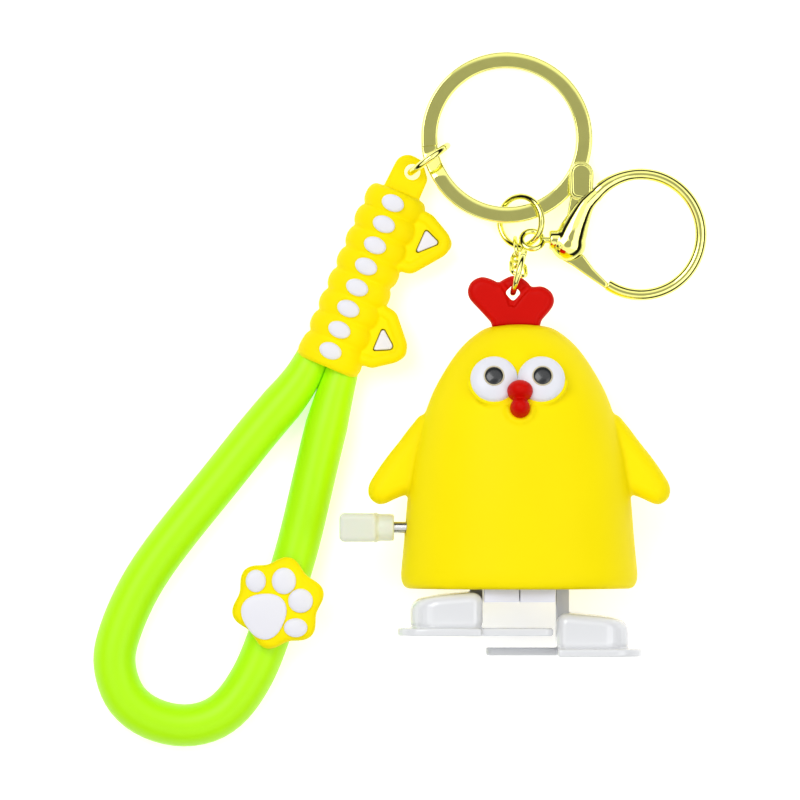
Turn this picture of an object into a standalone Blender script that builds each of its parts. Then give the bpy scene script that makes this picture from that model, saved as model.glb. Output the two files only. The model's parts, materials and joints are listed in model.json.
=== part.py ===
"""Wind-up walking chicken on a key-ring wrist strap, laid out flat on its back.

Frame: +X to the right, +Y from the feet to the key ring, +Z up from the table.
The chicken is modelled standing, in its own frame: x to the right, y to the back, z up from
the base rim. The empty toy_frame then lays it on its back, so its face looks along +Z.
"""

import math

import bmesh
import bpy
from mathutils import Matrix, Vector

MM = 0.001
GAP = 0.3 * MM

# --- where the main assemblies lie ---------------------------------------------------------
ORIGIN_SHIFT = Vector((-0.47, 0.17, 0.0)) * MM
TOY_AT = Vector((3.3, -41.2, 15.8)) * MM
KEY_RING_AT = Vector((1.2, 37.5, 2.77)) * MM
KEY_RING_TILT = math.radians(6.0)
STRAP_MOUTH_AT = Vector((-30.4, -2.6, 4.45)) * MM
STRAP_LEAN = math.radians(-22.9)

# --- chicken body -------------------------------------------------------------------------
BODY_DEPTH_RATIO = 0.76
BODY_OUTLINE = [(0.0, 46.1), (3.6, 45.8), (6.6, 44.9), (10.5, 41.5), (14.3, 35.6), (16.5, 30.2),
                (18.3, 23.2), (19.4, 16.2), (19.95, 9.6), (20.6, 2.6), (20.3, 0.8), (19.5, 0.0)]
INNER_WIDTH_RATIO = 0.912
INNER_HEIGHT_RATIO = 0.96
FACE_AT = Vector((0.0, -11.7, 33.0)) * MM
FACE_TILT = math.radians(16.0)
EYE_RADIUS = 3.98 * MM
EYE_SPACING = 8.3 * MM
EYE_RISE = 3.55 * MM
PUPIL_RADIUS = 1.65 * MM
WING_THICKNESS = 5.4 * MM
COMB_THICKNESS = 2.8 * MM
COMB_HOLE_AT = Vector((-1.08, 51.5)) * MM
COMB_HOLE_RADIUS = 1.35 * MM

# --- clockwork: axes across the body, given as (y, z), and stations along x ---------------
MODULE = 0.4 * MM
WINDING_AXIS = Vector((-0.8, 10.64)) * MM
CRANK_AXIS = Vector((-0.8, 3.4)) * MM
MIDDLE_AXIS = Vector((5.62, 5.785)) * MM
ESCAPE_AXIS = Vector((-6.1, 5.36)) * MM
PALLET_AXIS = Vector((-9.2, 8.1)) * MM
DRIVE_TEETH = 30
MIDDLE_PINION_TEETH = 10
MIDDLE_TEETH = 24
CRANK_PINION_TEETH = 10
CRANK_TEETH = 20
ESCAPE_PINION_TEETH = 8
STAR_TEETH = 12
RATCHET_STATION = (-5.0 * MM, -4.3 * MM)
DRIVE_STATION = (-4.1 * MM, -3.2 * MM)
MIDDLE_STATION = (-2.9 * MM, -2.0 * MM)
CRANK_STATION = (-1.7 * MM, -0.8 * MM)
STAR_STATION = (-0.5 * MM, 0.3 * MM)
SPRING_STATION = (0.7 * MM, 4.8 * MM)
SHAFT_RADIUS = 1.05 * MM
CRANK_SHAFT_RADIUS = 0.7 * MM
CRANK_THROW = 1.8 * MM
CASE_HALF_WIDTH = 6.15 * MM
CASE_WALL = 1.0 * MM
CASE_HALF_DEPTH = 12.0 * MM
CASE_BOTTOM = -2.3 * MM
CASE_TOP = 18.3 * MM

# --- legs and feet ------------------------------------------------------------------------
LEG_INNER = 6.4 * MM
LEG_OUTER = 8.6 * MM
LEG_WEB = 1.3 * MM
LEG_HALF_DEPTH = 5.6 * MM
LEG_DROP = 9.6 * MM
SHOE_BOTTOM = -11.9 * MM
SOLE_THICKNESS = 1.4 * MM

# --- rings, chain and clasp ---------------------------------------------------------------
KEY_RING_RADIUS = 15.0 * MM
KEY_RING_BAND = 2.8 * MM
KEY_RING_WIRE = 1.15 * MM
COMB_RING = {"at": (3.19, 13.84, 15.3), "radius": 3.7, "wire": 0.55, "facing": (74.6, 0.0)}
LINK_RING = {"at": (3.66, 22.9, 3.7), "radius": 4.35, "wire": 0.55, "facing": (0.0, -33.0)}
STRAP_RING = {"at": (-12.35, 33.75, 4.65), "radius": 4.0, "wire": 0.6, "facing": (36.2, 0.0)}
CHAIN_ENDS = (Vector((3.22, 13.94, 11.6)), Vector((2.9, 18.64, 3.26)))
LINK_ROLLS = (math.radians(1), math.radians(116), math.radians(63))
CLASP_AT = Vector((5.64, 19.58, 5.1)) * MM
CLASP_SLOPE = math.radians(4.4)
EYE_ROLL = math.radians(-33.2)
HOOK_AT = Vector((19.12, 1.02)) * MM
HOOK_RADIUS = 10.55 * MM
GATE_PIVOT = Vector((6.2, -1.18, 0)) * MM

# --- strap --------------------------------------------------------------------------------
SLEEVE_HALF_WIDTH = 5.7 * MM
SLEEVE_FLATNESS = 0.78
LOBES = 8
LOBE_PITCH = 4.0 * MM
TAB_THICKNESS = 1.8 * MM
TAB_DROP = 1.05 * MM
TUBE_RADIUS = 3.7 * MM
TUBE_HEIGHT = 3.75 * MM
TUBE_ROUTE = [(-33.2, -1.7), (-35.0, -5.5), (-41.2, -12.5), (-48.5, -21.9), (-56.4, -31.5),
              (-63.2, -41.0), (-67.1, -50.6), (-67.4, -55.4), (-64.9, -62.1), (-56.6, -65.7),
              (-48.4, -63.9), (-43.5, -57.1), (-41.0, -51.5), (-36.0, -36.7), (-33.6, -26.7),
              (-31.4, -17.2), (-29.2, -8.5), (-28.2, -4.6)]
PAW_AT = Vector((-38.75, -43.8, 0.0)) * MM
PAW_LEAN = math.radians(-18.6)
PAW_BOTTOM = 8.05 * MM
PAW_THICKNESS = 2.4 * MM

PARTS = None
CUTTERS = None
OBJECT_FRAME = None


# --- scene helpers ------------------------------------------------------------------------
def clear_scene():
    for obj in list(bpy.data.objects):
        bpy.data.objects.remove(obj, do_unlink=True)


def new_collection(name):
    collection = bpy.data.collections.new(name)
    bpy.context.scene.collection.children.link(collection)
    return collection


def look(name, colour, roughness, metallic=0.0):
    """A Principled material."""
    material = bpy.data.materials.new(name)
    material.use_nodes = True
    shader = material.node_tree.nodes["Principled BSDF"]
    shader.inputs["Base Color"].default_value = (*colour, 1.0)
    shader.inputs["Roughness"].default_value = roughness
    shader.inputs["Metallic"].default_value = metallic
    return material


def empty(name, at=(0, 0, 0), turn=(0, 0, 0), parent=None):
    frame = bpy.data.objects.new(name, None)
    bpy.context.scene.collection.objects.link(frame)
    frame.empty_display_size = 5 * MM
    frame.parent = parent or OBJECT_FRAME
    frame.location = at
    frame.rotation_euler = turn
    return frame


def put(obj, material, parent=None, at=(0, 0, 0), turn=(0, 0, 0), scale=(1, 1, 1)):
    """Link a part, or a cutter when it has no material, and place it under its parent."""
    if material is None:
        CUTTERS.objects.link(obj)
        obj.hide_render = True
        obj.display_type = "WIRE"
    else:
        PARTS.objects.link(obj)
        obj.data.materials.append(material)
    obj.parent = parent or OBJECT_FRAME
    obj.location = at
    obj.rotation_euler = turn
    obj.scale = scale
    return obj


def finish_mesh(name, shape, material, **where):
    """Turn a bmesh into a placed object."""
    mesh = bpy.data.meshes.new(name)
    shape.to_mesh(mesh)
    shape.free()
    mesh.shade_smooth()
    mesh.set_sharp_from_angle(angle=math.radians(40))
    return put(bpy.data.objects.new(name, mesh), material, **where)


def cut(obj, *cutters):
    for cutter in cutters:
        boolean = obj.modifiers.new("cut " + cutter.name, "BOOLEAN")
        boolean.operation = "DIFFERENCE"
        boolean.object = cutter


def join(obj, *pieces):
    for piece in pieces:
        boolean = obj.modifiers.new("join " + piece.name, "BOOLEAN")
        boolean.operation = "UNION"
        boolean.object = piece


# --- shapes -------------------------------------------------------------------------------
def box(name, size, material, **where):
    shape = bmesh.new()
    bmesh.ops.create_cube(shape, size=1.0)
    bmesh.ops.scale(shape, vec=size, verts=shape.verts)
    return finish_mesh(name, shape, material, **where)


def box_between(name, low, high, material, **where):
    """A box from its lowest to its highest corner."""
    low, high = Vector(low), Vector(high)
    return box(name, high - low, material, at=(low + high) / 2, **where)


def rod(name, radius, length, material, sides=20, **where):
    """A cylinder along its own z."""
    shape = bmesh.new()
    bmesh.ops.create_cone(shape, cap_ends=True, segments=sides, radius1=radius,
                          radius2=radius, depth=length)
    return finish_mesh(name, shape, material, **where)


def ball(name, radii, material, sides=14, rings=8, **where):
    shape = bmesh.new()
    bmesh.ops.create_uvsphere(shape, u_segments=sides, v_segments=rings, radius=1.0)
    bmesh.ops.scale(shape, vec=radii, verts=shape.verts)
    return finish_mesh(name, shape, material, **where)


def turned(name, profile, material, steps=24, closed=False, **where):
    """A profile of (radius, height) points turned about z, run from the top down its outside."""
    shape = bmesh.new()
    corners = [shape.verts.new((radius, 0, height)) for radius, height in profile]
    for first, second in zip(corners, corners[1:]):
        shape.edges.new((first, second))
    if closed:
        shape.edges.new((corners[-1], corners[0]))
    mesh = bpy.data.meshes.new(name)
    shape.to_mesh(mesh)
    shape.free()
    obj = put(bpy.data.objects.new(name, mesh), material, **where)
    screw = obj.modifiers.new("turn", "SCREW")
    screw.steps = screw.render_steps = steps
    screw.use_merge_vertices = True
    screw.merge_threshold = 0.00001
    screw.use_smooth_shade = True
    return obj


def torus(name, radius, wire, material, around=24, across=6, **where):
    """A closed wire ring about its own z."""
    shape = [(radius + wire * math.cos(angle), wire * math.sin(angle))
             for angle in (-2 * math.pi * i / across for i in range(across))]
    return turned(name, shape, material, steps=around, closed=True, **where)


def mesh_from_curve(name, curve, material, **where):
    """Mesh a curve with its caps welded on."""
    source = bpy.data.objects.new(name, curve)
    bpy.context.scene.collection.objects.link(source)
    graph = bpy.context.evaluated_depsgraph_get()
    shape = bmesh.new()
    shape.from_mesh(bpy.data.meshes.new_from_object(source.evaluated_get(graph)))
    bmesh.ops.remove_doubles(shape, verts=shape.verts, dist=0.000001)
    bpy.data.objects.remove(source)
    return finish_mesh(name, shape, material, **where)


def area(outline):
    """Signed area of a closed outline, positive when it runs anticlockwise."""
    return sum(a[0] * b[1] - b[0] * a[1] for a, b in zip(outline, outline[1:] + outline[:1])) / 2


def flat(name, outlines, thickness, material, rounding=0.0, **where):
    """Closed outlines filled and given a thickness along z; inner outlines are holes."""
    curve = bpy.data.curves.new(name, "CURVE")
    curve.dimensions = "2D"
    curve.fill_mode = "BOTH"
    curve.extrude = thickness / 2 - rounding
    curve.bevel_depth = rounding
    curve.bevel_resolution = 1
    curve.offset = -rounding
    for outline in outlines:
        if area(outline) < 0:
            outline = outline[::-1]
        spline = curve.splines.new("POLY")
        spline.points.add(len(outline) - 1)
        for point, (x, y) in zip(spline.points, outline):
            point.co = (x, y, 0, 1)
        spline.use_cyclic_u = True
    return mesh_from_curve(name, curve, material, **where)


def tube(name, points, radius, material, closed=False, sides=2, widths=None, **where):
    """A round wire along a run of points."""
    curve = bpy.data.curves.new(name, "CURVE")
    curve.dimensions = "3D"
    curve.bevel_depth = radius
    curve.bevel_resolution = sides
    curve.use_fill_caps = True
    spline = curve.splines.new("POLY")
    spline.points.add(len(points) - 1)
    for index, point in enumerate(points):
        spline.points[index].co = (*point, 1)
        spline.points[index].radius = widths[index] if widths else 1.0
    spline.use_cyclic_u = closed
    return mesh_from_curve(name, curve, material, **where)


def arc(radius, start, end, count, centre=(0, 0)):
    """Points along an arc, angles in degrees."""
    angles = [math.radians(start + (end - start) * i / (count - 1)) for i in range(count)]
    return [(centre[0] + radius * math.cos(a), centre[1] + radius * math.sin(a)) for a in angles]


def circle(radius, count, centre=(0, 0)):
    return arc(radius, 0, 360 - 360 / count, count, centre)


def rounded(corners, steps=4):
    """A closed outline through (x, y, radius) corners in millimetres, each rounded by an arc."""
    points = []
    for index, (x, y, radius) in enumerate(corners):
        corner = Vector((x, y))
        back = (Vector(corners[index - 1][:2]) - corner).normalized()
        ahead = (Vector(corners[(index + 1) % len(corners)][:2]) - corner).normalized()
        half = back.angle(ahead) / 2
        centre = corner + (back + ahead).normalized() * radius / math.sin(half)
        first = corner + back * radius / math.tan(half) - centre
        last = corner + ahead * radius / math.tan(half) - centre
        turn = first.angle_signed(last)
        for step in range(steps + 1):
            points.append((centre + Matrix.Rotation(-turn * step / steps, 2) @ first) * MM)
    return points


def smooth(points, steps):
    """A smooth run of points through hand-set points, which it keeps."""
    points = [Vector(point) for point in points]
    ends = [2 * points[0] - points[1], *points, 2 * points[-1] - points[-2]]
    run = []
    for a, b, c, d in zip(ends, ends[1:], ends[2:], ends[3:]):
        for step in range(steps):
            t = step / steps
            run.append(0.5 * (2 * b + (c - a) * t + (2 * a - 5 * b + 4 * c - d) * t * t
                              + (3 * b - a - 3 * c + d) * t ** 3))
    return [*run, points[-1]]


def in_mm(pairs):
    return [(x * MM, y * MM) for x, y in pairs]


# --- chicken ------------------------------------------------------------------------------
def body_shell(toy, looks):
    """Hollow vinyl body, open below, with the wings moulded on and pockets for the face."""
    outer = in_mm(BODY_OUTLINE)
    inner = [(r * INNER_WIDTH_RATIO, z * INNER_HEIGHT_RATIO) for r, z in outer[:-1]]
    inner.append((inner[-1][0], 0.0))
    shell = turned("body_shell", outer + inner[::-1], looks["yellow"], steps=32,
                   parent=toy, scale=(1, BODY_DEPTH_RATIO, 1))
    wing = rounded([(15.6, 31.2, 1.5), (14.4, 28.4, 1.5), (17.4, 16.2, 1.6), (30.6, 13.1, 2.6)])
    for side in (-1, 1):
        outline = [(side * x, z) for x, z in wing]
        join(shell, flat("wing guide", [outline], WING_THICKNESS, None, rounding=1.3 * MM,
                         parent=toy, turn=(math.pi / 2, 0, 0)))
        boss_at = (side * 14.6 * MM, 0, 6.2 * MM)
        join(shell, rod("boss guide", 1.9 * MM, 6.6 * MM, None, parent=toy, at=boss_at))
        rib = sorted((side * 15.4 * MM, side * 19.2 * MM))
        join(shell, box_between("rib guide", (rib[0], -0.7 * MM, 3.1 * MM),
                                (rib[1], 0.7 * MM, 9.3 * MM), None, parent=toy))
        cut(shell, rod("boss hole", 0.85 * MM, 9 * MM, None, sides=12, parent=toy,
                       at=(side * 14.6 * MM, 0, 3.5 * MM)))
    y, z = WINDING_AXIS
    cut(shell, rod("shaft hole", 1.7 * MM, 8 * MM, None, parent=toy, at=(-18.5 * MM, y, z),
                   turn=(0, math.pi / 2, 0)))
    cut(shell, box_between("comb slot", Vector((-4.6, -1.8, 44.75)) * MM,
                           Vector((3.2, 1.8, 49)) * MM, None, parent=toy))
    return shell


def dome(name, radius, front, back, material, steps, **where):
    """A domed button whose front looks along its own z."""
    profile = [(radius * math.sin(a), front * math.cos(a))
               for a in (math.pi / 2 * i / 4 for i in range(5))]
    return turned(name, [*profile, (radius, -back), (0, -back)], material, steps, **where)


def beak_lobes(name, grown, face, material):
    """The beak's upper lobe with the lower one joined to it, its back cut flat."""
    upper = ball(name, Vector((2.27, 1.85, 3.1)) * MM + Vector((grown, grown, grown)), material,
                 parent=face, at=Vector((0.05, 1.2, 0.7)) * MM)
    lower = ball("lower " + name, Vector((1.75, 1.75, 2.7)) * MM + Vector((grown, grown, grown)),
                 None, parent=face, at=Vector((0.05, -1.75, 0.5)) * MM)
    join(upper, lower)
    low = -0.45 * MM - grown
    cut(upper, box_between("behind " + name, (-4 * MM, -5 * MM, low - 4 * MM),
                           (4 * MM, 5 * MM, low), None, parent=face))
    return upper


def face(toy, shell, looks):
    """Two eyes with pupils and the beak, let into pockets in the shell."""
    frame = empty("face_frame", FACE_AT, (math.pi / 2 - FACE_TILT, 0, 0), toy)
    beak_lobes("beak", 0.0, frame, looks["red"])
    beak_pocket = beak_lobes("beak pocket", GAP, frame, None)
    cut(shell, beak_pocket)
    for side, word in ((-1, "left"), (1, "right")):
        at = Vector((side * EYE_SPACING / 2, EYE_RISE, -0.35 * MM))
        cut(shell, dome("eye pocket", EYE_RADIUS + GAP, 3 * MM, 0.75 * MM + GAP, None, 20,
                        parent=frame, at=at))
        eye = dome(word + "_eye", EYE_RADIUS, 1.9 * MM, 0.75 * MM, looks["eye"], 20,
                   parent=frame, at=at)
        pupil_at = at + Vector((0, 0.25 * MM, 1.55 * MM))
        cut(eye, beak_pocket)
        cut(eye, dome("pupil pocket", PUPIL_RADIUS + 0.2 * MM, 2 * MM, 0.5 * MM, None, 12,
                      parent=frame, at=pupil_at))
        dome(word + "_pupil", PUPIL_RADIUS, 0.6 * MM, 0.25 * MM, looks["pupil"], 12,
             parent=frame, at=pupil_at)


def comb(toy, looks):
    """Three-lobed comb that plugs into the head, with the hole for its ring."""
    outline = rounded([(-4.2, 45.05, 0.3), (2.8, 45.05, 0.3), (3.1, 46.6, 3.0), (6.9, 50.6, 1.6),
                       (5.6, 53.0, 1.7), (2.2, 52.0, 0.5), (0.2, 55.3, 1.7), (-3.7, 53.4, 0.6),
                       (-6.2, 55.0, 1.5), (-9.6, 52.5, 1.7), (-4.6, 46.6, 3.0)], steps=3)
    hole = circle(COMB_HOLE_RADIUS, 12, COMB_HOLE_AT)
    flat("comb", [outline, hole], COMB_THICKNESS, looks["red"], rounding=0.0, parent=toy,
         turn=(math.pi / 2, 0, 0))


def base_cover(toy, looks):
    """Plate that closes the body below, with the opening for the clockwork and the legs."""
    plate = turned("base_cover", in_mm([(0, 2.2), (18.3, 2.2), (18.3, 1.0), (0, 1.0)]),
                   looks["yellow"], steps=32, parent=toy, scale=(1, BODY_DEPTH_RATIO, 1))
    case = CASE_HALF_WIDTH + GAP
    depth = CASE_HALF_DEPTH + GAP
    cut(plate, box("case opening", (2 * case, 2 * depth, 9 * MM), None, parent=toy))
    cut(plate, box("leg opening", (18.4 * MM, 15.6 * MM, 9.4 * MM), None, parent=toy,
                   at=(0, WINDING_AXIS.x, 0)))
    shank = in_mm([(0, 7.0), (0.65, 7.0), (0.65, 0.85), (1.5, 0.85), (1.5, 0.15), (0, 0.15)])
    for side, word in ((-1, "left"), (1, "right")):
        at = (side * 14.6 * MM, 0, 0)
        cut(plate, rod("screw clearance", 0.9 * MM, 9 * MM, None, sides=12, parent=toy, at=at))
        turned(word + "_base_screw", shank, looks["steel"], steps=12, parent=toy, at=at)


# --- clockwork ----------------------------------------------------------------------------
def across(axis, station):
    """The middle of a station on an axis that runs along x."""
    return Vector((sum(station) / 2, axis.x, axis.y))


def width(station):
    return station[1] - station[0]


def facing(start, end):
    """A wheel's own angle, once it lies across the body, from one axis towards another."""
    towards = end - start
    return math.atan2(towards.x, -towards.y)


def gear_outline(teeth, phase):
    """Straight-sided teeth with a little backlash; phase is where the middle of a tooth is."""
    pitch = 2 * math.pi / teeth
    radius = MODULE * teeth / 2
    tip, root = radius + 0.8 * MODULE, radius - 1.05 * MODULE
    steps = ((root, -0.27), (tip, -0.10), (tip, 0.10), (root, 0.27))
    return [(r * math.cos(phase + (k + s) * pitch), r * math.sin(phase + (k + s) * pitch))
            for k in range(teeth) for r, s in steps]


def gear(name, teeth, phase, axis, station, material, toy):
    return flat(name, [gear_outline(teeth, phase)], width(station), material, parent=toy,
                at=across(axis, station), turn=(0, math.pi / 2, 0))


def saw_outline(teeth, root, tip):
    """A ratchet wheel's teeth, steep on one side."""
    step = 2 * math.pi / teeth
    return [(r * math.cos(k * step + a), r * math.sin(k * step + a))
            for k in range(teeth) for r, a in ((tip, 0.0), (root, 0.12 * step))]


def shaft(name, profile, axis, material, toy, steps=16, start=0.0):
    """A turned shaft along x; its profile runs from the +x end, in millimetres from start."""
    return turned(name, in_mm(profile), material, steps, parent=toy,
                  at=(start, axis.x, axis.y), turn=(0, math.pi / 2, 0))


def bore(wheel, axis, radius, toy):
    cut(wheel, rod("bore", radius, 30 * MM, None, sides=16, parent=toy, at=(0, axis.x, axis.y),
                   turn=(0, math.pi / 2, 0)))


def winding(toy, looks):
    """Knob, winding shaft, ratchet with its click, drive gear and mainspring."""
    shaft("winding_shaft", [(0, 5.0), (1.05, 5.0), (1.05, -28.0), (0, -28.0)], WINDING_AXIS,
          looks["steel"], toy)
    grip = [(0, -21.8), (2.2, -21.8), (2.4, -22.1), (2.4, -24.4), (2.8, -24.9), (3.0, -25.6),
            (3.02, -28.2), (2.9, -30.0), (2.2, -31.0), (1.0, -31.3), (0, -31.3)]
    knob = shaft("winding_knob", grip, WINDING_AXIS, looks["knob"], toy, steps=20)
    cut(knob, rod("knob bore", 1.12 * MM, 9.2 * MM, None, sides=16, parent=toy,
                  at=(-23.7 * MM, *WINDING_AXIS), turn=(0, math.pi / 2, 0)))
    drive = gear("drive_gear", DRIVE_TEETH, facing(WINDING_AXIS, MIDDLE_AXIS), WINDING_AXIS,
                 DRIVE_STATION, looks["brass"], toy)
    bore(drive, WINDING_AXIS, 1.12 * MM, toy)
    ratchet = flat("ratchet_wheel", [saw_outline(10, 1.9 * MM, 2.5 * MM), circle(1.12 * MM, 16)],
                   width(RATCHET_STATION), looks["steel"], parent=toy,
                   at=across(WINDING_AXIS, RATCHET_STATION), turn=(0, math.pi / 2, 0))
    click = rounded([(-2.6, 3.2, 0.1), (-2.4, 5.1, 0.9), (1.9, 5.4, 0.9), (1.9, 3.7, 0.8)])
    flat("ratchet_click", [click], width(RATCHET_STATION), looks["steel"], parent=toy,
         at=across(WINDING_AXIS, RATCHET_STATION), turn=(0, math.pi / 2, 0))
    coil = bmesh.new()
    turns, steps = 3.5, 56
    y, z = WINDING_AXIS
    ribbon = []
    for step in range(steps + 1):
        angle = 2 * math.pi * turns * step / steps
        radius = (1.5 + 4.0 * step / steps) * MM
        ribbon.append(coil.verts.new((SPRING_STATION[0], y + radius * math.cos(angle),
                                      z + radius * math.sin(angle))))
    edges = [coil.edges.new(pair) for pair in zip(ribbon, ribbon[1:])]
    wide = bmesh.ops.extrude_edge_only(coil, edges=edges)
    bmesh.ops.translate(coil, vec=(width(SPRING_STATION), 0, 0),
                        verts=[v for v in wide["geom"] if isinstance(v, bmesh.types.BMVert)])
    spring = finish_mesh("mainspring", coil, looks["steel"], parent=toy)
    spring.modifiers.new("strip", "SOLIDIFY").thickness = 0.3 * MM


def middle_gear(toy, looks):
    """Pinion and wheel in one moulding, loose on a steel axle."""
    towards_drive = facing(MIDDLE_AXIS, WINDING_AXIS)
    wheel = gear("middle_gear", MIDDLE_TEETH, facing(MIDDLE_AXIS, CRANK_AXIS), MIDDLE_AXIS,
                 MIDDLE_STATION, looks["wheel"], toy)
    pinion = gear("middle pinion", MIDDLE_PINION_TEETH, towards_drive + math.pi / MIDDLE_PINION_TEETH,
                  MIDDLE_AXIS, DRIVE_STATION, None, toy)
    hub = shaft("middle hub", [(0, -2.3), (1.5, -2.3), (1.5, -3.8), (0, -3.8)], MIDDLE_AXIS, None,
                toy)
    join(wheel, pinion, hub)
    bore(wheel, MIDDLE_AXIS, 0.55 * MM, toy)
    shaft("middle_axle", [(0, 5.0), (0.48, 5.0), (0.48, -5.0), (0, -5.0)], MIDDLE_AXIS,
          looks["steel"], toy, steps=12)


def crank_shaft(toy, looks):
    """Shaft with a crank at each end, the left one up and the right one down, and its gear."""
    crank = shaft("crank_shaft", [(0, 7.1), (2.5, 7.1), (2.5, 6.4), (0.7, 6.4), (0.7, -6.4),
                                  (2.5, -6.4), (2.5, -7.1), (0, -7.1)], CRANK_AXIS,
                  looks["wheel"], toy, steps=20)
    for side in (-1, 1):
        at = (side * 8.0 * MM, CRANK_AXIS.x, CRANK_AXIS.y - side * CRANK_THROW)
        join(crank, rod("crank pin", 0.6 * MM, 2.0 * MM, None, sides=12, parent=toy, at=at,
                        turn=(0, math.pi / 2, 0)))
    wheel = gear("crank_gear", CRANK_TEETH, facing(CRANK_AXIS, ESCAPE_AXIS), CRANK_AXIS,
                 CRANK_STATION, looks["wheel"], toy)
    pinion = gear("crank pinion", CRANK_PINION_TEETH,
                  facing(CRANK_AXIS, MIDDLE_AXIS) + math.pi / CRANK_PINION_TEETH, CRANK_AXIS,
                  MIDDLE_STATION, None, toy)
    hub = shaft("crank hub", [(0, -1.2), (1.4, -1.2), (1.4, -2.4), (0, -2.4)], CRANK_AXIS, None, toy)
    join(wheel, pinion, hub)
    bore(wheel, CRANK_AXIS, 0.78 * MM, toy)


def escapement(toy, looks):
    """Star wheel with its pinion on an axle, and the rocking pallet that slows it."""
    star = flat("escape_wheel", [gear_outline(STAR_TEETH, 0.0)], width(STAR_STATION),
                looks["wheel"], parent=toy, at=across(ESCAPE_AXIS, STAR_STATION),
                turn=(0, math.pi / 2, 0))
    pinion = gear("escape pinion", ESCAPE_PINION_TEETH,
                  facing(ESCAPE_AXIS, CRANK_AXIS) + math.pi / ESCAPE_PINION_TEETH, ESCAPE_AXIS,
                  CRANK_STATION, None, toy)
    hub = shaft("escape hub", [(0, 0.1), (1.0, 0.1), (1.0, -1.6), (0, -1.6)], ESCAPE_AXIS, None, toy)
    join(star, pinion, hub)
    bore(star, ESCAPE_AXIS, 0.5 * MM, toy)
    shaft("escape_axle", [(0, 5.0), (0.43, 5.0), (0.43, -2.2), (0, -2.2)], ESCAPE_AXIS,
          looks["steel"], toy, steps=12)
    bar = rounded([(-1.1, -1.2, 0.7), (-1.1, 1.2, 0.7), (1.1, 1.2, 0.7), (1.1, -1.2, 0.7)])
    pallet = flat("pallet", [bar], width(STAR_STATION), looks["steel"], parent=toy,
                  at=across(PALLET_AXIS, STAR_STATION), turn=(0, math.pi / 2, 0))
    join(pallet, shaft("pallet pin", [(0, 4.9), (0.45, 4.9), (0.45, -0.2), (0, -0.2)], PALLET_AXIS,
                       None, toy, steps=12))


def gear_case(toy, looks):
    """Two moulded halves that meet in the middle, held together by two screws on top."""
    middle = 0.1 * MM
    inside = CASE_HALF_WIDTH - CASE_WALL
    for side, word in ((-1, "left"), (1, "right")):
        ends = sorted((side * middle, side * CASE_HALF_WIDTH))
        half = box_between(word + "_gear_case", (ends[0], -CASE_HALF_DEPTH, CASE_BOTTOM),
                           (ends[1], CASE_HALF_DEPTH, CASE_TOP), looks["case"], parent=toy)
        room = sorted((-side * MM, side * inside))
        lug = sorted((side * middle, side * 2.6 * MM))
        for y in (-8 * MM, 8 * MM):
            join(half, box_between("lug", (lug[0], y - 1.8 * MM, CASE_TOP - 0.5 * MM),
                                   (lug[1], y + 1.8 * MM, CASE_TOP + 3.2 * MM), None, parent=toy))
            cut(half, rod("lug hole", 0.75 * MM, 8 * MM, None, sides=12, parent=toy,
                          at=(0, y, CASE_TOP + 1.7 * MM), turn=(0, math.pi / 2, 0)))
        cut(half, box_between("room", (room[0], CASE_WALL - CASE_HALF_DEPTH, CASE_BOTTOM + CASE_WALL),
                              (room[1], CASE_HALF_DEPTH - CASE_WALL, CASE_TOP - CASE_WALL), None,
                              parent=toy))
        for axis, radius in ((CRANK_AXIS, 0.8 * MM), (WINDING_AXIS, 1.15 * MM)):
            wall_hole = rod("bearing", radius, 3 * MM, None, sides=16, parent=toy,
                            at=(side * CASE_HALF_WIDTH, axis.x, axis.y), turn=(0, math.pi / 2, 0))
            if side == -1 or axis == CRANK_AXIS:
                cut(half, wall_hole)
        if side == 1:
            join(half, rod("leg guide", SHAFT_RADIUS, 3.2 * MM, None, sides=16, parent=toy,
                           at=(CASE_HALF_WIDTH + 1.3 * MM, *WINDING_AXIS), turn=(0, math.pi / 2, 0)))
    for y, word in ((-8 * MM, "front"), (8 * MM, "back")):
        turned(word + "_case_screw", in_mm([(0, 3.7), (1.4, 3.7), (1.4, 2.9), (0.6, 2.9),
                                            (0.6, -2.4), (0, -2.4)]), looks["steel"], steps=12,
               parent=toy, at=(0, y, CASE_TOP + 1.7 * MM), turn=(0, math.pi / 2, 0))


# --- legs and feet ------------------------------------------------------------------------
def leg(side, word, toy, looks):
    """A channel-shaped leg hung on its crank pin, with its guide hole opened for the throw."""
    rise = CRANK_AXIS.y - side * CRANK_THROW
    pivot = empty(word + "_leg_pivot", (0, CRANK_AXIS.x, rise), parent=toy)
    guide = WINDING_AXIS.y - CRANK_AXIS.y
    outline = rounded([(-5.6, -9.6, 0.4), (5.6, -9.6, 0.4), (5.6, 4.6, 2.0), (4.4, 11.4, 3.6),
                       (-4.4, 11.4, 3.6), (-5.6, 4.6, 2.0)])
    holes = [circle(0.72 * MM, 12), circle(SHAFT_RADIUS + CRANK_THROW + 0.2 * MM, 20, (0, guide))]
    middle = side * (LEG_OUTER - LEG_WEB / 2)
    lie = {"parent": pivot, "turn": (math.pi / 2, 0, math.pi / 2)}
    web = flat(word + "_leg", [outline, *holes], LEG_WEB, looks["leg"], at=(middle, 0, 0), **lie)
    channel = in_mm([(-5.5, -9.5), (5.5, -9.5), (5.5, 3.0), (4.6, 3.0), (4.6, -4.6), (-4.6, -4.6),
                     (-4.6, 3.0), (-5.5, 3.0)])
    deep = LEG_OUTER - LEG_INNER - LEG_WEB / 2
    join(web, flat("channel", [channel], deep, None, at=(side * (LEG_INNER + deep / 2), 0, 0),
                   **lie))
    foot(side, word, pivot, looks)


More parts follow.
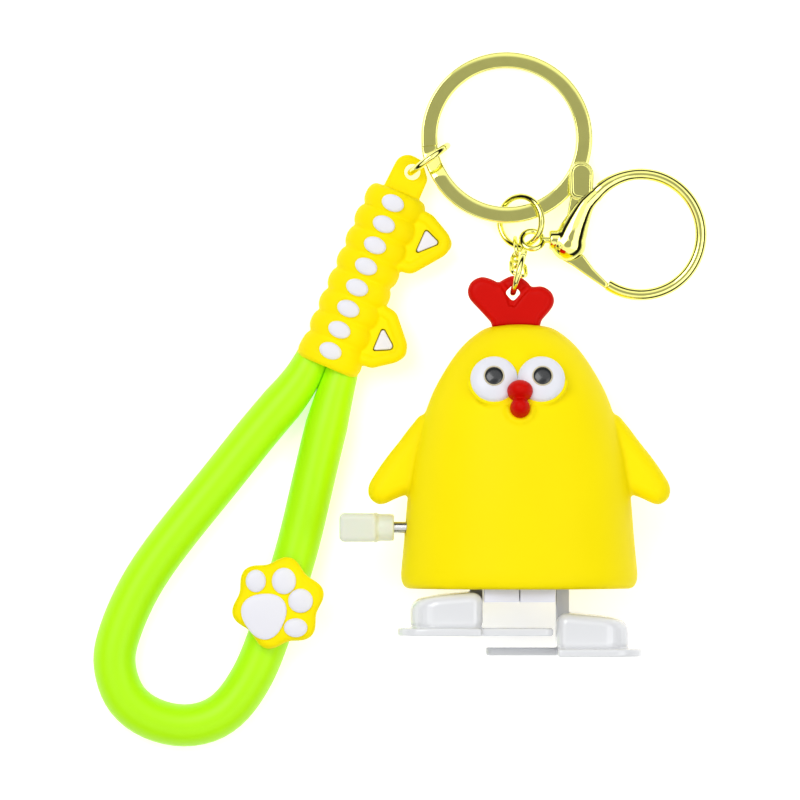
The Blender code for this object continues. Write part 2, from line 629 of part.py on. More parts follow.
def foot(side, word, pivot, looks):
    """Shoe on a wide sole; the left sole's inner tongue runs in front, the right one's behind."""
    front, back = -14.2, 11.6
    inner_tongue = (-12.5, -3.2) if side == -1 else (1.6, 10.6)
    sole = rounded([(side * x, y, r) for x, y, r in (
        (6.6, front, 0.5), (21.2, front, 5.0), (21.2, back, 5.0), (6.6, back, 0.5),
        (6.6, inner_tongue[1], 0.3), (-5.8, inner_tongue[1], 1.5), (-5.8, inner_tongue[0], 1.5),
        (6.6, inner_tongue[0], 0.3))], steps=4)
    name = word + "_foot"
    shoe_bottom = SHOE_BOTTOM
    sole_plate = flat(name, [sole], SOLE_THICKNESS, looks["foot"], rounding=0.0, parent=pivot,
                      at=(0, 0, shoe_bottom - SOLE_THICKNESS / 2))
    upper = rounded([(side * x, y, r) for x, y, r in (
        (6.4, front + 1.2, 1.4), (18.9, front + 1.2, 4.5), (18.9, back - 1.0, 4.5),
        (6.4, back - 1.0, 1.4))], steps=3)
    shoe = flat("shoe", [upper], 7.0 * MM, None, rounding=1.2 * MM, parent=pivot,
                at=(0, 0, shoe_bottom + 2.8 * MM))
    join(sole_plate, shoe)
    socket = sorted((side * 6.0 * MM, side * (LEG_OUTER + 0.25 * MM)))
    cut(sole_plate, box_between("leg socket", (socket[0], -5.9 * MM, -LEG_DROP - 0.3 * MM),
                                (socket[1], 5.9 * MM, 4 * MM), None, parent=pivot))


# --- rings and chain ----------------------------------------------------------------------
def ring_turn(heading, tilt):
    """A ring's rotation: on edge along a heading, or lying flat and tilted about y."""
    if tilt:
        return (0, math.radians(tilt), 0)
    return (math.pi / 2, 0, math.radians(heading))


def wire_ring(name, ring, material):
    return torus(name, ring["radius"] * MM, ring["wire"] * MM, material,
                 at=Vector(ring["at"]) * MM, turn=ring_turn(*ring["facing"]))


def key_ring(looks):
    """Flat split ring: two turns of flattened wire, one on the other, with a step between them."""
    tilt = Matrix.Rotation(KEY_RING_TILT, 3, Vector((-1, 1, 0)).normalized())
    ring = empty("key_ring_frame", KEY_RING_AT, tilt.to_euler())
    radius = KEY_RING_RADIUS - KEY_RING_BAND / 2
    start, turns, steps = math.radians(215), 1.92, 60
    points = []
    for step in range(steps + 1):
        angle = start + 2 * math.pi * turns * step / steps
        layer = max(-1, min(1, step - steps / 2))
        rise = layer * (KEY_RING_WIRE + 0.08 * MM) / 2
        points.append((radius * math.cos(angle), radius * math.sin(angle), rise))
    section = bpy.data.curves.new("key ring section", "CURVE")
    section.dimensions = "2D"
    corners = section.splines.new("POLY")
    corners.points.add(3)
    half = (KEY_RING_BAND / 2, KEY_RING_WIRE / 2)
    for point, (x, y) in zip(corners.points, ((-1, -1), (-1, 1), (1, 1), (1, -1))):
        point.co = (x * half[0], y * half[1], 0, 1)
    corners.use_cyclic_u = True
    guide = put(bpy.data.objects.new("key ring section", section), None)
    curve = bpy.data.curves.new("key_ring", "CURVE")
    curve.dimensions = "3D"
    curve.twist_mode = "Z_UP"
    curve.bevel_mode = "OBJECT"
    curve.bevel_object = guide
    curve.use_fill_caps = True
    spline = curve.splines.new("POLY")
    spline.points.add(steps)
    for point, place in zip(spline.points, points):
        point.co = (*place, 1)
    mesh_from_curve("key_ring", curve, looks["gold"], parent=ring)


def chain(looks):
    """Three oval links hung one in the next, from the comb's ring down to the link ring."""
    top, bottom = CHAIN_ENDS
    along = (bottom - top).normalized()
    length, breadth, wire = 4.86, 2.7, 0.38
    first = top + along * (length / 2 - 1.25)
    last = bottom - along * (length / 2 - 1.42)
    flatwise = along.cross(Vector((0.266, 0.964, 0.03))).normalized()
    upright = along.cross(flatwise)
    straight = (length - breadth) / 2
    oval = (arc(breadth / 2, -90, 90, 7, (straight, 0))
            + arc(breadth / 2, 90, 270, 7, (-straight, 0)))
    for index, roll in enumerate(LINK_ROLLS):
        side = flatwise * math.cos(roll) + upright * math.sin(roll)
        points = [(along * x + side * y) * MM for x, y in oval]
        tube(f"chain_link_{index + 1}", points, wire * MM, looks["gold"], closed=True, sides=1,
             at=first.lerp(last, index / 2) * MM)


# --- clasp --------------------------------------------------------------------------------
def clasp(looks):
    """Swivel eye and the body with its round hook, in a frame that runs along the swivel."""
    frame = empty("clasp_frame", CLASP_AT, (0, CLASP_SLOPE, 0))
    eye = torus("clasp_eye", 1.85 * MM, 0.52 * MM, looks["gold"], parent=frame,
                turn=(EYE_ROLL, 0, 0))
    join(eye, rod("eye stem", 0.55 * MM, 2.7 * MM, None, sides=12, parent=frame,
                  at=(3.0 * MM, 0, 0), turn=(0, math.pi / 2, 0)))
    join(eye, rod("eye rivet", 1.0 * MM, 0.5 * MM, None, sides=12, parent=frame,
                  at=(4.4 * MM, 0, 0), turn=(0, math.pi / 2, 0)))
    neck = in_mm([(0, 8.0), (1.4, 8.0), (1.5, 5.2), (1.75, 4.8), (1.75, 3.2), (1.4, 2.9), (0, 2.9)])
    body = turned("clasp_body", neck, looks["gold"], steps=14, parent=frame,
                  turn=(0, math.pi / 2, 0))
    bulb = ball("bulb", Vector((3.2, 3.1, 2.2)) * MM, None, sides=16, rings=10, parent=frame,
                at=Vector((6.6, 0.3, 0)) * MM)
    hook = arc(HOOK_RADIUS, 128, -119, 26, HOOK_AT)
    arm = smooth([*in_mm([(5.0, 1.6), (7.8, 5.7)]), hook[0]], 2)[:-1]
    route = [(x, y, 0) for x, y in [*arm, *hook]]
    join(body, bulb, tube("hook guide", route, 1.0 * MM, None, sides=2, parent=frame))
    cut(body, rod("rivet room", 1.2 * MM, 0.85 * MM, None, sides=12, parent=frame,
                  at=(4.35 * MM, 0, 0), turn=(0, math.pi / 2, 0)))
    cut(body, rod("stem hole", 0.7 * MM, 2.4 * MM, None, sides=12, parent=frame,
                  at=(3.0 * MM, 0, 0), turn=(0, math.pi / 2, 0)))
    slot = rounded([(5.0, -7.7, 0.3), (12.2, -7.7, 0.3), (12.2, 3.3, 0.3), (11.3, 9.9, 0.3),
                    (5.3, 9.9, 0.3)], steps=1)
    cut(body, flat("lever slot", [slot], 1.4 * MM, None, parent=frame))
    return frame, body


def gate(frame, body, looks):
    """Gate bar that closes the hook from inside, with its thumb tab beyond the pin."""
    pivot = empty("gate_pivot", GATE_PIVOT, parent=frame)
    lever = rounded([(-0.95, -2.3, 0.6), (3.8, -5.0, 1.0), (6.7, -7.3, 0.3), (6.1, -6.0, 0.3),
                     (1.8, -1.6, 0.8), (1.8, 3.0, 2.0), (4.1, 7.4, 1.0), (4.3, 14.6, 1.7),
                     (0.5, 14.6, 1.7), (0.5, 8.6, 1.0), (-0.95, 0.8, 0.8)], steps=3)
    gate_lever = flat("gate_lever", [lever, circle(0.55 * MM, 12)], 0.9 * MM, looks["gold"],
                      parent=pivot)
    bar = rounded([(1.8, -4.2, 0.3), (3.9, -5.2, 1.0), (6.8, -7.5, 0.3), (6.0, -5.8, 0.3),
                   (2.8, -2.9, 0.3)], steps=2)
    join(gate_lever, flat("gate bar", [bar], 1.8 * MM, None, rounding=0.3 * MM, parent=pivot))
    rod("gate_pin", 0.42 * MM, 3.2 * MM, looks["steel"], sides=12, parent=pivot)
    cut(body, rod("pin hole", 0.52 * MM, 6 * MM, None, sides=12, parent=pivot))
    cut(body, rod("spring room", 1.35 * MM, 1.3 * MM, None, sides=16, parent=pivot,
                  at=(0, 0, 0.7 * MM)))
    coil = [(0.95 * math.cos(a), 0.95 * math.sin(a), 0.74 + 0.035 * a)
            for a in (2 * math.pi * 1.6 * i / 14 for i in range(15))]
    tube("gate_spring", [Vector(point) * MM for point in coil], 0.13 * MM, looks["steel"],
         sides=1, parent=pivot)


# --- strap --------------------------------------------------------------------------------
def sleeve(looks):
    """Soft grip sleeve: ribbed, flattened, with a ring tab on top and two ears on one side."""
    frame = empty("strap_frame", STRAP_MOUTH_AT, (-math.pi / 2, 0, STRAP_LEAN))
    profile = [(0, 33.4 * MM), (0.62 * SLEEVE_HALF_WIDTH, 33.4 * MM)]
    for lobe in reversed(range(LOBES)):
        middle = 0.9 * MM + (lobe + 0.5) * LOBE_PITCH
        for step in (1, 0.45, -0.45, -1):
            swell = math.cos(step * math.pi / 2.2)
            profile.append((SLEEVE_HALF_WIDTH * (0.88 + 0.12 * swell),
                            middle + step * 0.48 * LOBE_PITCH))
    profile += [(0.93 * SLEEVE_HALF_WIDTH, 0.0), (0, 0)]
    body = turned("grip_sleeve", profile, looks["yellow"], steps=16, parent=frame,
                  scale=(1, SLEEVE_FLATNESS, 1))
    tab = rounded([(-3.2, 30.5, 0.5), (3.8, 30.5, 0.5), (3.9, 37.2, 1.5), (1.6, 40.0, 1.6),
                   (-2.6, 40.2, 2.4)])
    lie = {"parent": frame, "turn": (math.pi / 2, 0, 0)}
    join(body, flat("ring tab", [tab], TAB_THICKNESS, None, at=(0, TAB_DROP, 0), **lie))
    cut(body, rod("ring hole", 1.4 * MM, 9 * MM, None, sides=16, at=(0.65 * MM, 0, 37.3 * MM),
                  **lie))
    ears = (
        ("upper", [(2.5, 31.9, 1.2), (2.5, 20.1, 1.2), (7.0, 20.6, 1.2), (12.9, 28.3, 1.7),
                   (6.6, 31.6, 1.2)], [(6.5, 24.0, 0.4), (10.2, 27.7, 0.6), (6.6, 29.2, 0.5)]),
        ("lower", [(2.5, 14.3, 1.2), (2.5, 2.6, 1.2), (7.2, 3.0, 1.2), (12.9, 7.2, 1.8),
                   (7.2, 13.6, 1.2)], [(6.3, 5.6, 0.4), (10.2, 7.5, 0.8), (6.3, 10.6, 0.5)]),
    )
    for word, outline, inlay in ears:
        join(body, flat(word + " ear", [rounded(outline, steps=3)], 4.4 * MM, None,
                        rounding=1.1 * MM, **lie))
        pocket = flat(word + " ear pocket", [rounded(inlay, steps=2)], 3.0 * MM, None,
                      at=(0, -1.6 * MM, 0), **lie)
        cut(body, pocket)
        centre = sum((Vector(corner[:2]) for corner in inlay), Vector((0, 0))) / len(inlay)
        inner = [(*(centre + (Vector(corner[:2]) - centre) * 0.84), corner[2] * 0.8)
                 for corner in inlay]
        flat(word + "_ear_inlay", [rounded(inner, steps=2)], 1.3 * MM, looks["white"],
             at=(0, -1.2 * MM, 0), **lie)


def loop_tube(looks):
    """The wrist loop: one soft tube from the sleeve's mouth and back, squeezed at both ends."""
    centre = [(x * MM, y * MM, TUBE_HEIGHT) for x, y in smooth(TUBE_ROUTE, 2)]
    widths = [min(1.0, 0.66 + 0.34 * min(i, len(centre) - 1 - i) / 2) for i in range(len(centre))]
    tube("loop_tube", centre, TUBE_RADIUS, looks["tube"], sides=2, widths=widths)


def paw(looks):
    """Paw-shaped slider: a plate with a clip round the tube, and five white pads."""
    frame = empty("paw_frame", PAW_AT)
    outline = [((7.55 + 0.45 * math.cos(6 * (a - math.radians(135)))) * MM, a)
               for a in (2 * math.pi * i / 30 for i in range(30))]
    top = PAW_BOTTOM + PAW_THICKNESS
    plate = flat("paw_slider", [[(r * math.cos(a), r * math.sin(a)) for r, a in outline]],
                 PAW_THICKNESS, looks["yellow"], rounding=0.8 * MM, parent=frame,
                 at=(0, 0, PAW_BOTTOM + PAW_THICKNESS / 2))
    lie = {"parent": frame, "turn": (-math.pi / 2, 0, PAW_LEAN), "at": (0, 0, TUBE_HEIGHT)}
    join(plate, rod("clip", TUBE_RADIUS + 1.45 * MM, 8 * MM, None, **lie))
    cut(plate, rod("clip room", TUBE_RADIUS + 0.45 * MM, 20 * MM, None, sides=24, **lie))
    cut(plate, box("clip mouth", (14 * MM, 14 * MM, 3 * MM), None, parent=frame,
                   at=(0, 0, 0), turn=(0, 0, PAW_LEAN)))
    pads = (("paw_pad", -2.4, -2.1, 3.9, 4.0), ("paw_toe_1", -3.85, 3.85, 1.75, 1.9),
            ("paw_toe_2", 1.05, 3.85, 2.1, 2.2), ("paw_toe_3", 3.95, 0.4, 2.1, 2.1),
            ("paw_toe_4", 3.1, -4.3, 2.0, 1.6))
    for name, x, y, half_x, half_y in pads:
        at = Vector((x * MM, y * MM, top + 0.12 * MM))
        cut(plate, dome(name + " pocket", MM, MM, 0.8 * MM, None, 14, parent=frame, at=at,
                        scale=(half_x + 0.25, half_y + 0.25, 1)))
        dome(name, MM, 0.8 * MM, 0.5 * MM, looks["white"], 14, parent=frame, at=at,
             scale=(half_x, half_y, 1))


# --- the whole object ---------------------------------------------------------------------
def build():
    global PARTS, CUTTERS, OBJECT_FRAME
    clear_scene()
    PARTS = new_collection("wind_up_chicken")
    CUTTERS = new_collection("cutters")
    OBJECT_FRAME = empty("object_frame", ORIGIN_SHIFT)
    looks = {
        "yellow": look("yellow vinyl", (1.0, 0.8, 0.0), 0.5),
        "red": look("red vinyl", (0.75, 0.02, 0.01), 0.5),
        "eye": look("eye white", (0.9, 0.9, 0.92), 0.35),
        "pupil": look("pupil black", (0.02, 0.02, 0.02), 0.3),
        "white": look("white pvc", (0.92, 0.92, 0.95), 0.5),
        "foot": look("foot white", (0.9, 0.9, 0.9), 0.15),
        "case": look("gear case", (0.82, 0.84, 0.88), 0.4),
        "leg": look("leg grey", (0.62, 0.64, 0.66), 0.35),
        "knob": look("knob cream", (0.8, 0.82, 0.7), 0.4),
        "wheel": look("wheel plastic", (0.85, 0.83, 0.75), 0.4),
        "brass": look("brass", (0.75, 0.55, 0.2), 0.3, 1.0),
        "steel": look("steel", (0.6, 0.6, 0.6), 0.3, 1.0),
        "gold": look("pale gold", (0.85, 0.78, 0.35), 0.15, 1.0),
        "tube": look("lime tube", (0.5, 1.0, 0.03), 0.35),
    }
    toy = empty("toy_frame", TOY_AT, (-math.pi / 2, 0, 0))
    face(toy, body_shell(toy, looks), looks)
    comb(toy, looks)
    base_cover(toy, looks)
    gear_case(toy, looks)
    winding(toy, looks)
    middle_gear(toy, looks)
    crank_shaft(toy, looks)
    escapement(toy, looks)
    leg(-1, "left", toy, looks)
    leg(1, "right", toy, looks)
    wire_ring("comb_ring", COMB_RING, looks["gold"])
    chain(looks)
    wire_ring("link_ring", LINK_RING, looks["gold"])
    key_ring(looks)
    frame, body = clasp(looks)
    gate(frame, body, looks)
    wire_ring("strap_ring", STRAP_RING, looks["gold"])
    sleeve(looks)
    loop_tube(looks)
    paw(looks)


build()
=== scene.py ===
"""Wind-up walking chicken on a key-ring wrist strap, seen from straight above on a white table.

Given numbers are in millimetres, each in the frame of the piece it belongs to.
"""

import json
import math

import bmesh
import bpy
from mathutils import Euler, Matrix, Vector


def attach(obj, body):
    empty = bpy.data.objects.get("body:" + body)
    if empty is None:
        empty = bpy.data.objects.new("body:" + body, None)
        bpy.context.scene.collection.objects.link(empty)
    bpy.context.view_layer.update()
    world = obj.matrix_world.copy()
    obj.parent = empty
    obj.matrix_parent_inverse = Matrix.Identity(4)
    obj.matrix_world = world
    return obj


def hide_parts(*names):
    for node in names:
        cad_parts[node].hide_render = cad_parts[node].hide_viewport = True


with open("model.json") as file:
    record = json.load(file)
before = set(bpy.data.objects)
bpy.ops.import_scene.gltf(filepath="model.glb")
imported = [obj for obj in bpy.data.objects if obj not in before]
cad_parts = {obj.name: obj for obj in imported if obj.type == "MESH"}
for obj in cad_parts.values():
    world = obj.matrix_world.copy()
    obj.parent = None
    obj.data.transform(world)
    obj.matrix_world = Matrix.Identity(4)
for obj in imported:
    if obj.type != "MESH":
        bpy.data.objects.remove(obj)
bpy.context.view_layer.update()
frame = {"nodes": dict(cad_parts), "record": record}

MM = 0.001
SHIFT = Vector((-0.47, 0.17, 0.0))


def place(at, turn=(0, 0, 0)):
    """A frame at a point in millimetres, turned by angles in radians."""
    return Matrix.Translation((Vector(at) + SHIFT) * MM) @ Euler(turn).to_matrix().to_4x4()


TOY = place((3.3, -41.2, 15.8), (-math.pi / 2, 0, 0))
FACE = TOY @ Matrix.Translation(Vector((0, -11.7, 33.0)) * MM) @ Matrix.Rotation(
    math.pi / 2 - math.radians(16), 4, "X")
CLASP = place((5.64, 19.58, 5.1), (0, math.radians(4.4), 0))
GATE = CLASP @ Matrix.Translation(Vector((6.2, -1.18, 0)) * MM)
STRAP = place((-30.4, -2.6, 4.45), (-math.pi / 2, 0, math.radians(-22.9)))
PAW = place((-38.75, -43.8, 0.0))
LIE_FLAT = Matrix.Rotation(math.pi / 2, 4, "X")
ALONG_X = Matrix.Rotation(math.pi / 2, 4, "Y")


# --- materials ----------------------------------------------------------------------------
def finish(name, colour, roughness, metallic=0.0, tint=0.04, tint_scale=90.0, grain=0.05,
           grain_scale=2500.0, smudge=0.06, soft=0.0, coat=0.0, shine=0.5):
    """A Principled material with slow colour variation, a fine grain and uneven gloss.

    tint and smudge are how far colour and roughness wander. grain is the strength of the bump.
    """
    material = bpy.data.materials.new(name)
    material.use_nodes = True
    nodes, links = material.node_tree.nodes, material.node_tree.links
    shader = nodes["Principled BSDF"]
    shader.inputs["Metallic"].default_value = metallic
    shader.inputs["Specular IOR Level"].default_value = shine
    shader.inputs["Subsurface Weight"].default_value = soft
    shader.inputs["Subsurface Radius"].default_value = (1.0, 0.6, 0.3)
    shader.inputs["Subsurface Scale"].default_value = 0.0008
    shader.inputs["Coat Weight"].default_value = coat
    shader.inputs["Coat Roughness"].default_value = 0.08
    place_node = nodes.new("ShaderNodeTexCoord")
    clouds = nodes.new("ShaderNodeTexNoise")
    clouds.inputs["Scale"].default_value = tint_scale
    clouds.inputs["Detail"].default_value = 4.0
    links.new(place_node.outputs["Object"], clouds.inputs["Vector"])
    shade = nodes.new("ShaderNodeMix")
    shade.data_type = "RGBA"
    shade.inputs["A"].default_value = (*(c * (1 - tint) for c in colour), 1)
    shade.inputs["B"].default_value = (*(min(1.0, c * (1 + tint)) for c in colour), 1)
    links.new(clouds.outputs["Fac"], shade.inputs["Factor"])
    links.new(shade.outputs["Result"], shader.inputs["Base Color"])
    fine = nodes.new("ShaderNodeTexNoise")
    fine.inputs["Scale"].default_value = grain_scale
    fine.inputs["Detail"].default_value = 2.0
    links.new(place_node.outputs["Object"], fine.inputs["Vector"])
    gloss = nodes.new("ShaderNodeMapRange")
    gloss.inputs["To Min"].default_value = max(0.0, roughness - smudge)
    gloss.inputs["To Max"].default_value = roughness + smudge
    links.new(clouds.outputs["Fac"], gloss.inputs["Value"])
    links.new(gloss.outputs["Result"], shader.inputs["Roughness"])
    bump = nodes.new("ShaderNodeBump")
    bump.inputs["Strength"].default_value = grain
    bump.inputs["Distance"].default_value = 0.00005
    links.new(fine.outputs["Fac"], bump.inputs["Height"])
    links.new(bump.outputs["Normal"], shader.inputs["Normal"])
    return material


LOOKS = {
    "yellow vinyl": finish("yellow_vinyl", (1.0, 0.81, 0.0), 0.5, tint=0.03, grain=0.25, shine=0.08),
    "red vinyl": finish("red_vinyl", (0.62, 0.003, 0.0), 0.42, tint=0.06, grain=0.25, shine=0.08),
    "eye white": finish("eye_white", (0.80, 0.81, 0.87), 0.32, tint=0.02, grain=0.1, shine=0.3),
    "pupil black": finish("pupil_black", (0.012, 0.014, 0.016), 0.25, tint=0.3, grain=0.1, coat=0.4),
    "white pvc": finish("white_pvc", (0.83, 0.83, 0.89), 0.42, tint=0.02, grain=0.2, shine=0.3),
    "foot white": finish("foot_white", (0.79, 0.80, 0.82), 0.16, tint=0.02, grain=0.05, coat=0.5),
    "gear case": finish("case_white", (0.80, 0.81, 0.92), 0.35, tint=0.03, grain=0.1),
    "leg grey": finish("leg_grey", (0.70, 0.71, 0.74), 0.25, tint=0.05, grain=0.1),
    "knob cream": finish("knob_cream", (0.76, 0.79, 0.66), 0.36, tint=0.03, grain=0.15, soft=0.2),
    "wheel plastic": finish("wheel_plastic", (0.82, 0.80, 0.72), 0.4, tint=0.04, grain=0.1),
    "brass": finish("brass", (0.75, 0.55, 0.22), 0.28, metallic=1.0, tint=0.1, grain=0.1),
    "steel": finish("steel", (0.62, 0.62, 0.60), 0.26, metallic=1.0, tint=0.1, grain=0.15),
    "pale gold": finish("pale_gold", (0.90, 0.88, 0.27), 0.06, metallic=1.0, tint=0.06,
                        tint_scale=400.0, grain=0.04, grain_scale=900.0, smudge=0.03),
    "lime tube": finish("lime_tube", (0.48, 0.97, 0.002), 0.38, tint=0.03, grain=0.12, shine=0.25),
}
# Beige-gold for the thin ring round each pupil: a painted reflection on the glossy pupil.
PUPIL_REFLECTION = finish("pupil_painted_reflection", (0.62, 0.55, 0.36), 0.4, tint=0.05)


# --- mesh tools ---------------------------------------------------------------------------
def as_mesh(shape):
    mesh = bpy.data.meshes.new("shape")
    bmesh.ops.recalc_face_normals(shape, faces=shape.faces)
    shape.to_mesh(mesh)
    shape.free()
    return mesh


def lathe(profile, steps=96, scale=(1, 1, 1)):
    """A profile of (radius, height) points in millimetres turned about z."""
    shape = bmesh.new()
    rings = []
    for radius, height in profile:
        spots = steps if radius > 0.0001 else 1
        rings.append([shape.verts.new((radius * scale[0] * MM * math.cos(2 * math.pi * i / steps),
                                       radius * scale[1] * MM * math.sin(2 * math.pi * i / steps),
                                       height * scale[2] * MM)) for i in range(spots)])
    for upper, lower in zip(rings, rings[1:]):
        for i in range(steps):
            j = (i + 1) % steps
            corners = [upper[i % len(upper)], upper[j % len(upper)], lower[j % len(lower)],
                       lower[i % len(lower)]]
            corners = list(dict.fromkeys(corners))
            if len(corners) > 2:
                shape.faces.new(corners)
    return as_mesh(shape)


def round_section(radius, sides=24, flat=1.0):
    return [(radius * math.cos(2 * math.pi * i / sides),
             radius * flat * math.sin(2 * math.pi * i / sides)) for i in range(sides)]


def sweep(path, section, up=(0, 0, 1), closed=False, swell=None):
    """A section in millimetres carried along a flat run of points in millimetres."""
    path = [Vector(p) for p in path]
    up = Vector(up)
    shape = bmesh.new()
    rings = []
    for i, point in enumerate(path):
        ahead = path[(i + 1) % len(path)] if closed or i + 1 < len(path) else point
        behind = path[i - 1] if closed or i else point
        across = (ahead - behind).cross(up).normalized()
        size = swell[i] if swell else 1.0
        rings.append([shape.verts.new((point + across * x * size + up * y * size) * MM)
                      for x, y in section])
    pairs = list(zip(rings, rings[1:]))
    if closed:
        pairs.append((rings[-1], rings[0]))
    for first, second in pairs:
        for i in range(len(section)):
            shape.faces.new((first[i - 1], first[i], second[i], second[i - 1]))
    if not closed:
        shape.faces.new(rings[0])
        shape.faces.new(rings[-1])
    return as_mesh(shape)


def bake(mesh, *modifiers):
    """The mesh after a run of modifiers, each given as (type, settings)."""
    obj = bpy.data.objects.new("bake", mesh)
    bpy.context.scene.collection.objects.link(obj)
    for kind, settings in modifiers:
        modifier = obj.modifiers.new(kind, kind)
        for key, value in settings.items():
            setattr(modifier, key, value)
    graph = bpy.context.evaluated_depsgraph_get()
    result = bpy.data.meshes.new_from_object(obj.evaluated_get(graph))
    bpy.data.objects.remove(obj)
    return result


def moved(mesh, matrix):
    mesh.transform(matrix)
    return mesh


def fuse(meshes, voxel, smoothing=0):
    """Overlapping closed meshes melted into one skin."""
    shape = bmesh.new()
    for mesh in meshes:
        shape.from_mesh(mesh)
    mesh = bpy.data.meshes.new("fused")
    shape.to_mesh(mesh)
    shape.free()
    steps = [("REMESH", {"mode": "VOXEL", "voxel_size": voxel * MM})]
    if smoothing:
        steps.append(("SMOOTH", {"factor": 0.5, "iterations": smoothing}))
    return bake(mesh, *steps)


def carve(mesh, *cutters):
    """The mesh with each cutter taken out of it."""
    for cutter in cutters:
        tool = bpy.data.objects.new("cutter", cutter)
        bpy.context.scene.collection.objects.link(tool)
        mesh = bake(mesh, ("BOOLEAN", {"operation": "DIFFERENCE", "solver": "EXACT",
                                       "object": tool}))
        bpy.data.objects.remove(tool)
    return mesh


def plate(outlines, thickness, rounding=0.0, fine=5):
    """Closed outlines in millimetres, filled, with a thickness along z and rounded edges."""
    curve = bpy.data.curves.new("plate", "CURVE")
    curve.dimensions = "2D"
    curve.fill_mode = "BOTH"
    curve.extrude = (thickness / 2 - rounding) * MM
    curve.bevel_depth = rounding * MM
    curve.bevel_resolution = fine
    curve.offset = -rounding * MM
    for outline in outlines:
        spline = curve.splines.new("POLY")
        spline.points.add(len(outline) - 1)
        for point, (x, y) in zip(spline.points, outline):
            point.co = (x * MM, y * MM, 0, 1)
        spline.use_cyclic_u = True
    obj = bpy.data.objects.new("plate", curve)
    bpy.context.scene.collection.objects.link(obj)
    graph = bpy.context.evaluated_depsgraph_get()
    shape = bmesh.new()
    shape.from_mesh(bpy.data.meshes.new_from_object(obj.evaluated_get(graph)))
    bpy.data.objects.remove(obj)
    bmesh.ops.remove_doubles(shape, verts=shape.verts, dist=0.000002)
    return as_mesh(shape)


def arc(radius, start, end, count, centre=(0, 0)):
    angles = [math.radians(start + (end - start) * i / (count - 1)) for i in range(count)]
    return [(centre[0] + radius * math.cos(a), centre[1] + radius * math.sin(a)) for a in angles]


def circle(radius, count=48, centre=(0, 0)):
    return arc(radius, 0, 360 - 360 / count, count, centre)


def rounded(corners, steps=8):
    """A closed outline through (x, y, radius) corners, each rounded by an arc."""
    points = []
    for index, (x, y, radius) in enumerate(corners):
        corner = Vector((x, y))
        back = (Vector(corners[index - 1][:2]) - corner).normalized()
        ahead = (Vector(corners[(index + 1) % len(corners)][:2]) - corner).normalized()
        half = back.angle(ahead) / 2
        centre = corner + (back + ahead).normalized() * radius / math.sin(half)
        first = corner + back * radius / math.tan(half) - centre
        last = corner + ahead * radius / math.tan(half) - centre
        turn = first.angle_signed(last)
        for step in range(steps + 1):
            spot = centre + Matrix.Rotation(-turn * step / steps, 2) @ first
            points.append(tuple(spot))
    return points


def smooth(points, steps, closed=False):
    """A smooth run of points through given points, which it keeps."""
    points = [Vector(point) for point in points]
    if closed:
        ends = [points[-1], *points, points[0], points[1]]
    else:
        ends = [2 * points[0] - points[1], *points, 2 * points[-1] - points[-2]]
    run = []
    for a, b, c, d in zip(ends, ends[1:], ends[2:], ends[3:]):
        for step in range(steps):
            t = step / steps
            run.append(0.5 * (2 * b + (c - a) * t + (2 * a - 5 * b + 4 * c - d) * t * t
                              + (3 * b - a - 3 * c + d) * t ** 3))
    return run if closed else [*run, points[-1]]


def ball(radii, steps=48):
    profile = [(math.sin(math.pi * i / 24), math.cos(math.pi * i / 24)) for i in range(25)]
    return lathe(profile, steps, radii)


def shift(x, y, z):
    return Matrix.Translation(Vector((x, y, z)) * MM)


def piece(name, mesh, slot, body, *nodes, at=None, look=None, angle=60):
    """Adds a finished piece that rides on a body and stands for the CAD nodes it replaces."""
    if at is not None:
        mesh.transform(at)
    mesh.name = name
    mesh.materials.clear()
    mesh.materials.append(look or LOOKS[slot])
    mesh.shade_smooth()
    mesh.set_sharp_from_angle(angle=math.radians(angle))
    obj = bpy.data.objects.new(name, mesh)
    bpy.context.scene.collection.objects.link(obj)
    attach(obj, body)
    if nodes:
        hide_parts(*nodes)
    return obj


# --- camera and the wrist tube ------------------------------------------------------------
def camera():
    """Looks straight down from 2.5 m, so that heights hardly shift anything sideways."""
    data = bpy.data.cameras.new("camera")
    data.sensor_width = 36
    data.lens = 36 * 2500 / 139.6
    data.clip_end = 10
    obj = bpy.data.objects.new("camera", data)
    bpy.context.scene.collection.objects.link(obj)
    obj.location = ((-17.45 + SHIFT.x) * MM, (-8.376 + SHIFT.y) * MM, 2.51)
    bpy.context.scene.camera = obj


TUBE_ROUTE = [(-32.1, 0.7), (-35.0, -5.5), (-41.2, -12.5), (-48.5, -21.9), (-56.4, -31.5),
              (-63.2, -41.0), (-67.1, -50.6), (-67.4, -55.4), (-64.9, -62.1), (-56.6, -65.7),
              (-48.4, -63.9), (-43.5, -57.1), (-41.0, -51.5), (-36.0, -36.7), (-33.6, -26.7),
              (-31.4, -17.2), (-29.2, -8.5), (-27.05, -1.4)]
TUBE_RADIUS = 3.7
TUBE_HEIGHT = 3.75
TUBE_SMOOTHING = 12


